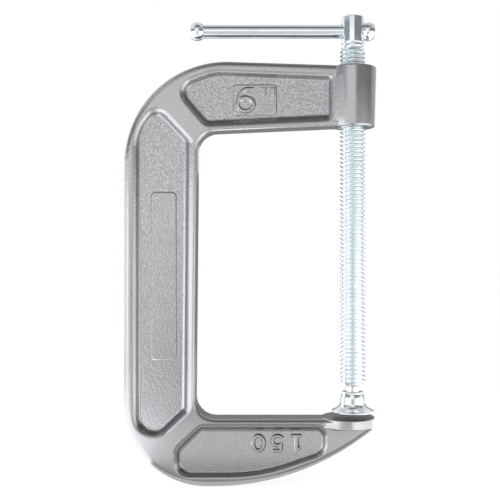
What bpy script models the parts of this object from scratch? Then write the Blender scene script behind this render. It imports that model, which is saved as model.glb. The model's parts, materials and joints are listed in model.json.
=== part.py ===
"""A six-inch C clamp: one cast frame with a tapped boss, a threaded spindle turned by a
sliding tommy bar, and a pad that swivels on the spindle's ball end.

World frame: the screw's axis is +Z, the C lies in the XZ plane and the casting is thick
along Y.  The origin is where the screw's axis meets the anvil's face.  Driving dimensions
are in millimetres and are turned into metres where the meshes are made.
"""

import math

import bmesh
import bpy
from mathutils import Matrix, Vector

for old in list(bpy.data.objects):
    bpy.data.objects.remove(old)

MM = 0.001

# --- clamp capacity -----------------------------------------------------------------
OPEN_MAX = 150.0          # widest opening between anvil and pad
OPEN_REST = 2.64          # opening at which the clamp is stored
PITCH = 2.4               # screw lead, single start, right hand

# --- anvil --------------------------------------------------------------------------
ANVIL_X = -2.8            # the anvil's middle, a little inside the screw's axis
ANVIL_R = 15.1
ANVIL_H = 5.4
ANVIL_EDGE = 0.5

# --- screw --------------------------------------------------------------------------
CREST_R = 7.2
ROOT_R = CREST_R - 1.45
SHANK_R = CREST_R - 0.75  # plain head, the blank the thread is rolled on
THREAD_PLAY = 0.38        # radial play between screw and tapped boss
STEM_R = 4.0              # neck between the ball and the screw
SOCKET_PLAY = 0.25        # round the neck's stem in the spindle
STEM_DEPTH = 8.0          # how far the stem reaches into the spindle

# --- swivel pad on its ball ---------------------------------------------------------
BALL_R = 5.6
BALL_PLAY = 0.3
SEAT_R = BALL_R + BALL_PLAY
PAD_Z = OPEN_REST
PAD_R = 11.85
PAD_RIM_H = 0.95
BALL_Z = PAD_Z + PAD_RIM_H + SEAT_R
PAD_CUP_R = SEAT_R + 1.5
PAD_CUP_Z = PAD_Z + 3.9
PAD_WAIST_R = SEAT_R + 1.0
PAD_WAIST_Z = BALL_Z + 1.35
PAD_MOUTH_R = STEM_R + 1.0
PAD_TOP_R = PAD_MOUTH_R + 1.1
PAD_TOP_Z = BALL_Z + 4.65
THREAD_LOW_Z = PAD_TOP_Z + 3.26
STEM_TOP_Z = THREAD_LOW_Z + STEM_DEPTH

# --- boss ---------------------------------------------------------------------------
BOSS_GAP = 1.7            # left between pad and boss at the widest opening
BOSS_BOTTOM_Z = OPEN_MAX + (PAD_TOP_Z - PAD_Z) + BOSS_GAP
BOSS_TOP_Z = BOSS_BOTTOM_Z + 34.4
BOSS_TOP_R = 13.4
BOSS_BOTTOM_R = BOSS_TOP_R - 0.9
BOSS_EDGE = 0.9

# --- cast frame ---------------------------------------------------------------------
THROAT_LOW_X = -88.5      # spine's inner face beside the anvil
THROAT_HIGH_X = THROAT_LOW_X + 1.5
BACK_X = THROAT_LOW_X - 40.2
ARM_TOP_Z = -0.3          # lower arm's upper face, just under the anvil's
HEEL_Z = ARM_TOP_Z - 37.8
TOE_X = ANVIL_X + ANVIL_R
TOE_Z = 0.1 - ANVIL_H
TOE_SPARE = 0.4           # cast arm cut back to the anvil's round
BELLY_X = TOE_X - 0.3149 * (TOE_X - BACK_X)  # where heel line and toe line would meet
HEEL_RADIUS = 46.4
HEEL_FLAT = 4.1           # straight between the heel's curve and the belly's
CROWN_RADIUS = 57.6
SOFFIT_HIGH_Z = BOSS_BOTTOM_Z + 0.6
SOFFIT_LOW_Z = SOFFIT_HIGH_Z - 4.05
BRIDGE_Z = BOSS_TOP_Z - 0.6
CROWN_Z = BRIDGE_Z + 4.2  # top line carried back to the spine's outer face
ARM_END_X = 6.0           # upper arm stops inside the boss
INNER_RADIUS_HIGH = 10.8
INNER_RADIUS_LOW = 11.3
HALF_THICK = 9.5          # mid-plane to flange face
EDGE_ROUND = 3.0          # rounding of the flange's outer edges
INNER_EDGE = 0.6          # edges round the throat are this much tighter
DRAFT = 0.25              # taper from the parting line to the flange
RECESS = 4.0              # depth of the three recesses in each side
RIM_ROUND = 0.35          # softening along a recess's rim
FLOOR_ROUND = 0.9         # fillet at a recess's floor

# --- spindle's head and tommy bar ---------------------------------------------------
HEAD_Z = BOSS_TOP_Z + 13.0
HEAD_TOP_Z = HEAD_Z + 15.2
HEAD_EDGE = 0.8
BAR_Z = HEAD_TOP_Z - 8.2
BAR_R = 3.7
BAR_PLAY = 0.3            # round the bar in the head's cross hole
HOLE_BEVEL = 1.1
KNOB_R = BAR_R + 1.45
KNOB_FLAT = KNOB_R - 1.65  # knob's centre to its flat end
KNOB_PLAY = 0.2           # round the bar in a knob's socket
KNOB_DEPTH = 1.4          # socket floor beyond the knob's centre
KNOB_SPAN = 96.55         # one knob's centre to the other's
KNOB_RIGHT_X = SHANK_R + 2.2
KNOB_LEFT_X = KNOB_RIGHT_X - KNOB_SPAN

# --- cast marks ---------------------------------------------------------------------
PANEL_H = 0.4             # height of a raised panel above the recess floor
STROKE_H = 0.5            # height of a numeral above what it stands on


def turned(u, v):
    """Signed angle from direction u to direction v, positive to the left."""
    return math.atan2(u[0] * v[1] - u[1] * v[0], u[0] * v[0] + u[1] * v[1])


def headings(corners):
    out = []
    for i, c in enumerate(corners):
        n = corners[(i + 1) % len(corners)]
        length = math.hypot(n[0] - c[0], n[1] - c[1])
        out.append(((n[0] - c[0]) / length, (n[1] - c[1]) / length))
    return out


def shifted(corners, scaled, even=0.0):
    """Move every side of a left-turning loop inwards; a corner is (x, z, radius, weight)
    and weight scales the shift of the side that starts there."""
    u = headings(corners)
    out = []
    for i, (x, z, r, w) in enumerate(corners):
        before = scaled * corners[i - 1][3] + even
        after = scaled * w + even
        a, b = u[i - 1], u[i]
        cross = a[0] * b[1] - a[1] * b[0]
        dot = a[0] * b[0] + a[1] * b[1]
        # both sides moved along their left normals, and met again
        along = (after - before * dot) / cross
        px = x - a[1] * before - a[0] * along
        pz = z + a[0] * before - a[1] * along
        turn = math.copysign(1.0, cross)
        out.append((px, pz, max(r - turn * (before + after) / 2, 0.2), w))
    return out


def rounded(corners, step):
    """Points of a loop with every corner rounded, in arcs of about `step` degrees."""
    u = headings(corners)
    out = []
    for i, (x, z, r, _) in enumerate(corners):
        a, b = u[i - 1], u[i]
        turn = turned(a, b)
        reach = r * math.tan(abs(turn) / 2)
        side = math.copysign(1.0, turn)
        cx = x - a[0] * reach - a[1] * r * side
        cz = z - a[1] * reach + a[0] * r * side
        steps = max(1, round(abs(math.degrees(turn)) / step))
        start = math.atan2(-a[0] * side, a[1] * side)
        for k in range(steps + 1):
            t = start + turn * k / steps
            out.append((cx + r * math.cos(t), cz + r * math.sin(t)))
    return out


def mesh_object(name, bm):
    bmesh.ops.recalc_face_normals(bm, faces=bm.faces)
    data = bpy.data.meshes.new(name)
    bm.to_mesh(data)
    bm.free()
    obj = bpy.data.objects.new(name, data)
    bpy.context.scene.collection.objects.link(obj)
    return obj


def lofted(name, rings):
    """A closed solid through rings of equal length, each a list of (x, y, z) in mm."""
    bm = bmesh.new()
    rows = [[bm.verts.new(Vector(p) * MM) for p in ring] for ring in rings]
    for low, high in zip(rows, rows[1:]):
        for i in range(len(low)):
            j = (i + 1) % len(low)
            bm.faces.new((low[i], low[j], high[j], high[i]))
    bm.faces.new(rows[0])
    bm.faces.new(rows[-1])
    return mesh_object(name, bm)


def turned_part(name, profile, segments, axis="Z", at=(0.0, 0.0, 0.0), first=0.0):
    """A solid of revolution from (radius, height) pairs, along X or Z; `first` shifts where
    its facets begin, in facets."""
    rings = []
    bm = bmesh.new()
    for r, h in profile:
        if r < 1e-6:
            rings.append([bm.verts.new(Vector((0, 0, h)) * MM)])
            continue
        ring = []
        for k in range(segments):
            t = 2 * math.pi * (k + first) / segments
            ring.append(bm.verts.new(Vector((r * math.cos(t), r * math.sin(t), h)) * MM))
        rings.append(ring)
    for low, high in zip(rings, rings[1:]):
        for k in range(segments):
            j = (k + 1) % segments
            quad = [low[k % len(low)], low[j % len(low)], high[j % len(high)], high[k % len(high)]]
            face = list(dict.fromkeys(quad))
            if len(face) > 2:
                bm.faces.new(face)
    for ring in (rings[0], rings[-1]):
        if len(ring) > 1:
            bm.faces.new(ring)
    if axis == "X":
        bm.transform(Matrix.Rotation(math.radians(90), 4, "Y"))
    bm.transform(Matrix.Translation(Vector(at) * MM))
    return mesh_object(name, bm)


def combine(target, tool, operation):
    mod = target.modifiers.new(operation.lower(), "BOOLEAN")
    mod.operation = operation
    mod.solver = "EXACT"
    mod.object = tool
    graph = bpy.context.evaluated_depsgraph_get()
    fresh = bpy.data.meshes.new_from_object(target.evaluated_get(graph))
    target.modifiers.clear()
    spent, target.data = target.data, fresh
    bpy.data.meshes.remove(spent)
    bpy.data.objects.remove(tool)


def box(name, low, high):
    ring = [(low[0], low[2]), (high[0], low[2]), (high[0], high[2]), (low[0], high[2])]
    return lofted(name, [[(x, y, z) for x, z in ring] for y in (low[1], high[1])])


def sharp_by(obj, degrees):
    """Smooth shading, with edges sharper than the given angle left crisp."""
    bm = bmesh.new()
    bm.from_mesh(obj.data)
    for face in bm.faces:
        face.smooth = True
    for edge in bm.edges:
        if len(edge.link_faces) == 2:
            edge.smooth = edge.calc_face_angle(0.0) < math.radians(degrees)
    bm.to_mesh(obj.data)
    bm.free()


def paint(obj, name, colour, metallic, roughness):
    material = bpy.data.materials.new(name)
    material.use_nodes = True
    shader = material.node_tree.nodes["Principled BSDF"]
    shader.inputs["Base Color"].default_value = (*colour, 1.0)
    shader.inputs["Metallic"].default_value = metallic
    shader.inputs["Roughness"].default_value = roughness
    obj.data.materials.clear()
    obj.data.materials.append(material)


def set_origin(obj, point):
    """Put the object's origin on its joint axis without moving the solid."""
    shift = Vector(point) * MM
    obj.data.transform(Matrix.Translation(-shift))
    obj.location = shift


# --- screw thread -------------------------------------------------------------------
THREAD_SIDES = 16


def thread_solid(name, low_z, high_z, grow=0.0, limit=None):
    """A right-hand V thread between two heights: rows of root and crest run round it on a
    slant, so that row m ends where row m + 2 begins.  `limit` gives the largest radius
    allowed at a height, which tapers the ends."""
    bm = bmesh.new()
    lead = 2 * math.ceil(1.5 + low_z / PITCH % 1)
    first = 2 * math.floor(low_z / PITCH) - lead
    last = 2 * math.ceil(high_z / PITCH) + 3
    rows = []
    for m in range(first, last):
        row = []
        for k in range(THREAD_SIDES + 1):
            z = PITCH * (m / 2 + k / THREAD_SIDES)
            held = min(max(z, low_z), high_z)
            r = (CREST_R if m % 2 else ROOT_R) + grow
            if held != z:
                r = ROOT_R + grow
            if limit:
                r = min(r, limit(held))
            t = 2 * math.pi * k / THREAD_SIDES
            row.append(Vector((r * math.cos(t), r * math.sin(t), held)) * MM)
        rows.append(row)
    for low, high in zip(rows, rows[1:]):
        for k in range(THREAD_SIDES):
            corners = [low[k], low[k + 1], high[k + 1], high[k]]
            bm.faces.new([bm.verts.new(c) for c in corners])
    bmesh.ops.remove_doubles(bm, verts=bm.verts, dist=1e-6)
    bmesh.ops.dissolve_degenerate(bm, edges=bm.edges, dist=1e-6)
    loose = [f for f in bm.faces if f.calc_area() < 1e-13]
    bmesh.ops.delete(bm, geom=loose, context="FACES_ONLY")
    bmesh.ops.holes_fill(bm, edges=[e for e in bm.edges if e.is_boundary], sides=0)
    return mesh_object(name, bm)


# --- cast frame ---------------------------------------------------------------------
SIDE_STEP = 7.5           # degrees of arc per facet of the casting

# the belly's curve takes what the heel's leaves of the bottom line
toe_slope = math.atan2(TOE_Z - HEEL_Z, TOE_X - BELLY_X)
belly_radius = (BELLY_X - BACK_X - HEEL_RADIUS - HEEL_FLAT) / math.tan(toe_slope / 2)

outline = [
    (BACK_X, HEEL_Z, HEEL_RADIUS, 1.0),
    (BELLY_X, HEEL_Z, belly_radius, 1.0),
    (TOE_X + TOE_SPARE, TOE_Z + TOE_SPARE * math.tan(toe_slope), 0.6, 1.0),
    (TOE_X + TOE_SPARE, ARM_TOP_Z, 0.6, INNER_EDGE),
    (THROAT_LOW_X, ARM_TOP_Z, INNER_RADIUS_LOW, INNER_EDGE),
    (THROAT_HIGH_X, SOFFIT_LOW_Z, INNER_RADIUS_HIGH, INNER_EDGE),
    (ARM_END_X, SOFFIT_HIGH_Z, 0.6, 0.2),
    (ARM_END_X, BRIDGE_Z, 0.6, 1.0),
    (BACK_X, CROWN_Z, CROWN_RADIUS, 1.0),
]

profile = []
for k in range(4):
    t = math.radians(90 - 30 * k)
    profile.append((HALF_THICK - EDGE_ROUND * (1 - math.sin(t)),
                    DRAFT + EDGE_ROUND * (1 - math.cos(t))))
rings = []
for y, inset in [(-y, d) for y, d in profile] + [(0.0, 0.0)] + profile[::-1]:
    rings.append([(x, y, z) for x, z in rounded(shifted(outline, inset), SIDE_STEP)])
c_frame = lofted("c_frame", rings)

# the toe is round in plan, flush with the anvil above it
toe = box("toe", (ANVIL_X, -20, -60), (40, 20, -0.1))
combine(toe, turned_part("plug", [(ANVIL_R - 0.1, -80), (ANVIL_R - 0.1, 20)], 48,
                         at=(ANVIL_X, 0, 0), first=0.5), "DIFFERENCE")
combine(c_frame, toe, "DIFFERENCE")

# recess floors, set in from the faces of the frame; a side's weight is how far its wall
# leans outwards on the way up
spine_recess = [
    (BACK_X + 8.7, ARM_TOP_Z - 6.9, 8.5, 2.0),
    (BACK_X + 19.7, ARM_TOP_Z - 6.9, 6.0, 2.6),
    (THROAT_LOW_X - 7.0, ARM_TOP_Z + 5.7, 3.0, 3.6),
    (THROAT_HIGH_X - 7.4, SOFFIT_LOW_Z - 4.75, 2.5, 2.6),
    (BACK_X + 18.7, SOFFIT_LOW_Z + 11.75, 4.5, 2.4),
    (BACK_X + 8.7, SOFFIT_LOW_Z + 0.75, 25.0, 2.3),
]
upper_recess = [
    (THROAT_HIGH_X - 10.4, CROWN_Z - 17.0, 5.5, 2.4),
    (THROAT_HIGH_X + 4.8, SOFFIT_LOW_Z + 6.55, 3.0, 3.0),
    (-BOSS_TOP_R - 0.5, SOFFIT_HIGH_Z + 5.75, 0.8, 0.9),
    (-BOSS_TOP_R - 0.5, BRIDGE_Z - 7.8, 0.8, 1.6),
    (THROAT_HIGH_X + 9.5, CROWN_Z - 9.55, 25.0, 2.0),
]
lower_recess = [
    (THROAT_LOW_X - 8.9, HEEL_Z + 7.4, 6.5, 1.1),
    (BELLY_X - 20.9, HEEL_Z + 7.4, 100.0, 1.1),
    (ANVIL_X - ANVIL_R + 1.1, TOE_Z - 13.3, 7.0, 1.5),
    (ANVIL_X - ANVIL_R + 1.1, ARM_TOP_Z - 6.5, 3.5, 3.1),
    (THROAT_LOW_X + 2.8, ARM_TOP_Z - 6.5, 3.0, 2.3),
    (THROAT_LOW_X - 8.9, ARM_TOP_Z - 17.8, 4.0, 2.3),
]

for side in (-1, 1):
    for recess in (spine_recess, upper_recess, lower_recess):
        floor_y = HALF_THICK - RECESS
        levels = [(floor_y, 0.0, FLOOR_ROUND)]
        levels.append((floor_y + 0.3 * FLOOR_ROUND, 0.0, 0.3 * FLOOR_ROUND))
        levels.append((floor_y + 0.25 * RECESS, -0.25, 0.0))
        levels.append((HALF_THICK - RIM_ROUND, RIM_ROUND / RECESS - 1, 0.0))
        levels.append((HALF_THICK + 0.05, -1.0, -RIM_ROUND))
        levels.append((HALF_THICK + 4.0, -1.0, -RIM_ROUND))
        rings = []
        for y, lean, even in levels:
            loop = rounded(shifted(recess, lean, even), 15)
            rings.append([(x, side * y, z) for x, z in loop])
        combine(c_frame, lofted("recess", rings), "DIFFERENCE")

combine(c_frame, turned_part("boss", [
    (BOSS_BOTTOM_R - BOSS_EDGE, BOSS_BOTTOM_Z), (BOSS_BOTTOM_R, BOSS_BOTTOM_Z + BOSS_EDGE),
    (BOSS_TOP_R, BOSS_TOP_Z - BOSS_EDGE), (BOSS_TOP_R - BOSS_EDGE, BOSS_TOP_Z)], 48), "UNION")
combine(c_frame, turned_part("anvil", [
    (ANVIL_R - ANVIL_EDGE, -ANVIL_H), (ANVIL_R, -ANVIL_H + ANVIL_EDGE),
    (ANVIL_R, -ANVIL_EDGE), (ANVIL_R - ANVIL_EDGE, 0.0)], 48, at=(ANVIL_X, 0, 0)), "UNION")


def stroke(name, path, width, base_y, height, closed=False):
    """A raised line with sloping sides, cast on the front face along a path of (x, z)."""
    n = len(path)
    rings = []
    for i, (x, z) in enumerate(path):
        before = path[i - 1] if i or closed else path[i]
        after = path[(i + 1) % n] if i < n - 1 or closed else path[i]
        dx, dz = after[0] - before[0], after[1] - before[1]
        length = math.hypot(dx, dz)
        nx, nz = -dz / length, dx / length
        ring = []
        for side, y in ((1.0, base_y + 0.3), (0.72, base_y - height),
                        (-0.72, base_y - height), (-1.0, base_y + 0.3)):
            reach = side * width / 2
            ring.append((x + nx * reach, y, z + nz * reach))
        rings.append(ring)
    if not closed:
        return lofted(name, rings)
    bm = bmesh.new()
    rows = [[bm.verts.new(Vector(p) * MM) for p in ring] for ring in rings]
    for i in range(n):
        low, high = rows[i], rows[(i + 1) % n]
        for k in range(4):
            j = (k + 1) % 4
            bm.faces.new((low[k], low[j], high[j], high[k]))
    return mesh_object(name, bm)


def arc(cx, cz, rx, rz, start, end, steps):
    out = []
    for k in range(steps + 1):
        t = math.radians(start + (end - start) * k / steps)
        out.append((cx + rx * math.cos(t), cz + rz * math.sin(t)))
    return out


def placed(path, cx, cz, size, flip=False):
    """A numeral's path, drawn one unit high about its middle, put where it is cast."""
    s = -size if flip else size
    return [(cx + s * x, cz + s * z) for x, z in path]


ONE = [(0.0, 0.5), (0.0, -0.5)]
FIVE_BAR = [(0.28, 0.5), (-0.3, 0.5)]
FIVE_STEM = [(-0.21, 0.46), (-0.25, 0.0)]
FIVE_BOWL = arc(-0.02, -0.18, 0.31, 0.32, 140, -150, 11)
ZERO = arc(0.0, 0.0, 0.3, 0.5, 0, 337.5, 15)

FLOOR_Y = -(HALF_THICK - RECESS)


def raised_panel(name, cx, cz, wide, tall, radius):
    ring = [(cx - wide / 2, cz - tall / 2, radius, 1.0), (cx + wide / 2, cz - tall / 2, radius, 1.0),
            (cx + wide / 2, cz + tall / 2, radius, 1.0), (cx - wide / 2, cz + tall / 2, radius, 1.0)]
    rings = []
    for y, inset in ((FLOOR_Y + 0.5, 0.0), (FLOOR_Y, 0.0), (FLOOR_Y - PANEL_H, 0.3)):
        rings.append([(x, y, z) for x, z in rounded(shifted(ring, inset), 30)])
    return lofted(name, rings)


# the size stands on a panel on the upper arm; the spine's panel is bare
size_x = THROAT_HIGH_X + 31.7
size_z = (SOFFIT_HIGH_Z + BRIDGE_Z) / 2 - 2.4
name_x = (BACK_X + THROAT_LOW_X) / 2 + 2.2
name_z = (ARM_TOP_Z + SOFFIT_LOW_Z) / 2 - 0.325
combine(c_frame, raised_panel("size_panel", size_x, size_z, 24.7, 17.4, 2.2), "UNION")
combine(c_frame, raised_panel("name_panel", name_x, name_z, 14.3, 94.4, 2.5), "UNION")

panel_y = FLOOR_Y - PANEL_H
# the 6 is one stroke that closes on itself, so its bowl and its tail are cast separately
six_x = size_x - 5.7
combine(c_frame, stroke("bowl", placed(arc(0.0, -0.2, 0.29, 0.3, 0, 330, 11), six_x, size_z, 13.0),
                        2.3, panel_y, STROKE_H, closed=True), "UNION")
combine(c_frame, stroke("tail", placed(arc(0.14, -0.2, 0.43, 0.66, 180, 84, 6), six_x, size_z, 13.0),
                        2.2, panel_y, STROKE_H - 0.04), "UNION")
for x in (size_x + 4.4, size_x + 8.3):
    combine(c_frame, stroke("inch", [(x, size_z + 7.0), (x, size_z + 2.6)], 2.2, panel_y,
                            STROKE_H), "UNION")

# the metric size runs along the lower arm, upside down
metric_x, metric_z = ANVIL_X - 27.6, ARM_TOP_Z - 13.1
combine(c_frame, stroke("one", placed(ONE, metric_x, metric_z, 8.6, True), 2.0, FLOOR_Y,
                        STROKE_H), "UNION")
for path, lower in ((FIVE_BAR, 0.0), (FIVE_STEM, 0.05), (FIVE_BOWL, 0.02)):
    combine(c_frame, stroke("five", placed(path, metric_x - 8.6, metric_z, 8.6, True), 1.9,
                            FLOOR_Y, STROKE_H - lower), "UNION")
combine(c_frame, stroke("zero", placed(ZERO, metric_x - 19.0, metric_z, 8.6, True), 1.9,
                        FLOOR_Y, STROKE_H, closed=True), "UNION")

# the boss is tapped right through, with a countersink at each end
combine(c_frame, thread_solid("tap", BOSS_BOTTOM_Z - 3.0, BOSS_TOP_Z + 3.0, grow=THREAD_PLAY), "DIFFERENCE")
for z, s in ((BOSS_BOTTOM_Z, -1), (BOSS_TOP_Z, 1)):
    wide, narrow = CREST_R + THREAD_PLAY + 1.2, ROOT_R - 0.5
    ends = [(narrow, z - s * 2.2), (wide, z + s * 0.15), (wide, z + s * 1.5)]
    combine(c_frame, turned_part("sink", ends, 32, first=0.5), "DIFFERENCE")
sharp_by(c_frame, 32)
paint(c_frame, "frame_paint", (0.42, 0.42, 0.43), 0.55, 0.42)

# --- spindle ------------------------------------------------------------------------


def thread_limit(z):
    """Largest radius the screw may have at a height: a lead-in cone below, and the plain
    head's blank above."""
    low = ROOT_R - 0.7 + (z - THREAD_LOW_Z) * 0.95
    high = SHANK_R - 0.15 + max(0.0, HEAD_Z - 3.2 - z) * 0.7
    return min(low, high, CREST_R)


spindle = thread_solid("spindle", THREAD_LOW_Z, HEAD_Z + 1.5, limit=thread_limit)
combine(spindle, turned_part("head", [
    (SHANK_R, HEAD_Z), (SHANK_R, HEAD_TOP_Z - HEAD_EDGE),
    (SHANK_R - 0.35 * HEAD_EDGE, HEAD_TOP_Z - 0.3 * HEAD_EDGE),
    (SHANK_R - 1.3 * HEAD_EDGE, HEAD_TOP_Z)], 40), "UNION")
hole_r = BAR_R + BAR_PLAY
cross = [(hole_r + HOLE_BEVEL + 1.0, -SHANK_R - 1.0), (hole_r, -SHANK_R + HOLE_BEVEL),
         (hole_r, SHANK_R - HOLE_BEVEL), (hole_r + HOLE_BEVEL + 1.0, SHANK_R + 1.0)]
combine(spindle, turned_part("cross_hole", cross, 32, "X", (0, 0, BAR_Z)), "DIFFERENCE")
socket_r = STEM_R + SOCKET_PLAY
combine(spindle, turned_part("socket", [
    (socket_r, THREAD_LOW_Z - 3.0), (socket_r, STEM_TOP_Z + SOCKET_PLAY)], 24), "DIFFERENCE")
sharp_by(spindle, 35)
paint(spindle, "spindle_zinc", (0.78, 0.80, 0.82), 1.0, 0.2)

# --- ball end -----------------------------------------------------------------------
ball = [(0.0, BALL_Z - BALL_R)]
join = math.degrees(math.asin(STEM_R / BALL_R))
for k in range(1, 12):
    t = math.radians(k * (180 - join) / 11)
    ball.append((BALL_R * math.sin(t), BALL_Z - BALL_R * math.cos(t)))
ball += [(STEM_R, STEM_TOP_Z - 0.5), (STEM_R - 0.5, STEM_TOP_Z)]
ball_end = turned_part("ball_end", ball, 24)
sharp_by(ball_end, 32)
paint(ball_end, "ball_end_zinc", (0.76, 0.78, 0.80), 1.0, 0.24)

# --- swivel pad ---------------------------------------------------------------------
cup = [(PAD_R - 0.25, PAD_Z), (PAD_R, PAD_Z + 0.25), (PAD_R, PAD_Z + PAD_RIM_H - 0.25)]
flare_r, flare_z = PAD_R - 0.45, PAD_Z + PAD_RIM_H
for k in range(6):
    s = k / 5
    cup.append((flare_r + (PAD_CUP_R - flare_r) * s, flare_z + (PAD_CUP_Z - flare_z) * s ** 1.25))
cup += [(PAD_WAIST_R, PAD_WAIST_Z), (PAD_TOP_R + 0.25, PAD_TOP_Z - 1.5),
        (PAD_TOP_R - 0.1, PAD_TOP_Z - 0.5), (PAD_TOP_R - 0.5, PAD_TOP_Z), (PAD_MOUTH_R, PAD_TOP_Z)]
mouth = math.degrees(math.asin(PAD_MOUTH_R / SEAT_R))
for k in range(0, 10):
    t = math.radians(mouth + (180 - mouth) * k / 9)
    cup.append((SEAT_R * math.sin(t) if k < 9 else 0.0, BALL_Z + SEAT_R * math.cos(t)))
swivel_pad = turned_part("swivel_pad", cup, 32)
sharp_by(swivel_pad, 32)
paint(swivel_pad, "pad_zinc", (0.76, 0.79, 0.81), 1.0, 0.26)

# --- tommy bar ----------------------------------------------------------------------
reach = KNOB_DEPTH - KNOB_PLAY
low_x, high_x = KNOB_LEFT_X - reach, KNOB_RIGHT_X + reach
tommy_bar = turned_part("tommy_bar", [
    (BAR_R - 0.5, low_x), (BAR_R, low_x + 0.5), (BAR_R, high_x - 0.5), (BAR_R - 0.5, high_x)],
    32, "X", (0, 0, BAR_Z))
sharp_by(tommy_bar, 32)
paint(tommy_bar, "bar_zinc", (0.78, 0.80, 0.82), 1.0, 0.2)

for name, x, out in (("bar_knob_left", KNOB_LEFT_X, -1), ("bar_knob_right", KNOB_RIGHT_X, 1)):
    bore_r = BAR_R + KNOB_PLAY
    start = math.asin(bore_r / KNOB_R)
    end = math.pi - math.asin(math.sqrt(1 - (KNOB_FLAT / KNOB_R) ** 2))
    knob = [(0.0, KNOB_DEPTH), (bore_r, KNOB_DEPTH)]
    for k in range(9):
        t = start + (end - start) * k / 8
        knob.append((KNOB_R * math.sin(t), -KNOB_R * math.cos(t)))
    knob += [(knob[-1][0] - 0.5, KNOB_FLAT + 0.12), (0.0, KNOB_FLAT + 0.12)]
    obj = turned_part(name, [(r, out * h) for r, h in knob], 28, "X", (x, 0, BAR_Z))
    sharp_by(obj, 32)
    paint(obj, name + "_zinc", (0.78, 0.80, 0.82), 1.0, 0.2)
    set_origin(obj, (0, 0, BAR_Z))

for obj, point in ((spindle, (0, 0, 0)), (swivel_pad, (0, 0, BALL_Z)), (tommy_bar, (0, 0, BAR_Z))):
    set_origin(obj, point)
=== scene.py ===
# %% [markdown]
# # A six-inch C clamp, dressed for the camera
#
# The clamp is one cast frame, a threaded spindle with a ball end, a swivel pad, and a
# sliding tommy bar with a knob pressed on each end.  Its bodies and joints come packed from
# the CAD.  This lesson rebuilds every piece with finer curves, fillets and rounded edges, and
# gives it the finish of a new clamp: grey enamel on the casting, bright zinc on the steel.
#
# Sizes below are in millimetres, and become metres where a mesh is made.

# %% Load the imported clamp
import json
import math

import bmesh
import bpy
from mathutils import Matrix, Vector


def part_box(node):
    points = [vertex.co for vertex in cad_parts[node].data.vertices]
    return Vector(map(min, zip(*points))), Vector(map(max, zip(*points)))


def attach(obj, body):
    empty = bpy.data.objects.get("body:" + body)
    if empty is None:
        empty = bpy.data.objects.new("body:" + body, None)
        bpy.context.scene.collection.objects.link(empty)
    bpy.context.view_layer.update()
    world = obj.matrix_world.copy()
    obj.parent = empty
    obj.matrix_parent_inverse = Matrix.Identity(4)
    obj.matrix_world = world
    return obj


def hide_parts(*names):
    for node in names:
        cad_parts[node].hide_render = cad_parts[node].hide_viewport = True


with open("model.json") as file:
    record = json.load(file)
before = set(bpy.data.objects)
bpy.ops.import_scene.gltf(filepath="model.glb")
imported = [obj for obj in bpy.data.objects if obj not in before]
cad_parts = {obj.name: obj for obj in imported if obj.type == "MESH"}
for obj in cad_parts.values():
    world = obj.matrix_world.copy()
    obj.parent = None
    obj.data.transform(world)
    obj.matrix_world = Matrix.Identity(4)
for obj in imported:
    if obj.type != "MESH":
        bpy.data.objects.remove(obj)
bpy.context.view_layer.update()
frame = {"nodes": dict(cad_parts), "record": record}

MM = 0.001
for node in sorted(frame["nodes"]):
    low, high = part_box(node)
    print(node, "is", [round((high[a] - low[a]) / MM, 2) for a in range(3)], "mm")

# %% [markdown]
# ## Outlines that know their draft
#
# A casting's shape is an outline with rounded corners that shrinks a little towards each
# face, so that the pattern leaves the sand.  One function moves every side of an outline
# inwards and another rounds its corners.  The Bevel modifier could round the edges of an
# extruded outline, but loops keep the taper and the radii exact where several edges meet.

# %% Move the sides of an outline, round its corners
def headings(corners):
    out = []
    for i, c in enumerate(corners):
        n = corners[(i + 1) % len(corners)]
        length = math.hypot(n[0] - c[0], n[1] - c[1])
        out.append(((n[0] - c[0]) / length, (n[1] - c[1]) / length))
    return out


def shifted(corners, scaled, even=0.0):
    """Sides moved inwards.  A corner is (x, z, radius, weight), and its weight scales the
    shift of the side that starts there."""
    u = headings(corners)
    out = []
    for i, (x, z, r, w) in enumerate(corners):
        before = scaled * corners[i - 1][3] + even
        after = scaled * w + even
        a, b = u[i - 1], u[i]
        cross = a[0] * b[1] - a[1] * b[0]
        along = (after - before * (a[0] * b[0] + a[1] * b[1])) / cross
        grown = r - math.copysign(1.0, cross) * (before + after) / 2
        out.append((x - a[1] * before - a[0] * along, z + a[0] * before - a[1] * along,
                    max(grown, 0.2), w))
    return out


def rounded(corners, step=3.0):
    """Points of a loop, each corner drawn as an arc in steps of about `step` degrees."""
    u = headings(corners)
    out = []
    for i, (x, z, r, _) in enumerate(corners):
        a, b = u[i - 1], u[i]
        turn = math.atan2(a[0] * b[1] - a[1] * b[0], a[0] * b[0] + a[1] * b[1])
        reach = r * math.tan(abs(turn) / 2)
        side = math.copysign(1.0, turn)
        cx = x - a[0] * reach - a[1] * r * side
        cz = z - a[1] * reach + a[0] * r * side
        steps = max(1, round(abs(math.degrees(turn)) / step))
        start = math.atan2(-a[0] * side, a[1] * side)
        for k in range(steps + 1):
            t = start + turn * k / steps
            out.append((cx + r * math.cos(t), cz + r * math.sin(t)))
    return out


def bend(steps, start=0.0, end=90.0):
    """(sine, cosine) pairs from one angle to another, for rounding an edge in a profile."""
    turns = [math.radians(start + (end - start) * k / steps) for k in range(steps + 1)]
    return [(math.sin(t), math.cos(t)) for t in turns]


# %% [markdown]
# ## From loops to solids
#
# Everything on a clamp is either skinned over a stack of loops, as the casting is, or turned
# on a lathe, as all the steel parts are.  Booleans with the exact solver join and cut these
# solids, so each piece stays one closed skin.

# %% Skin loops, turn profiles, cut and join
def mesh_object(name, bm):
    bmesh.ops.recalc_face_normals(bm, faces=bm.faces)
    data = bpy.data.meshes.new(name)
    bm.to_mesh(data)
    bm.free()
    obj = bpy.data.objects.new(name, data)
    bpy.context.scene.collection.objects.link(obj)
    return obj


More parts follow.
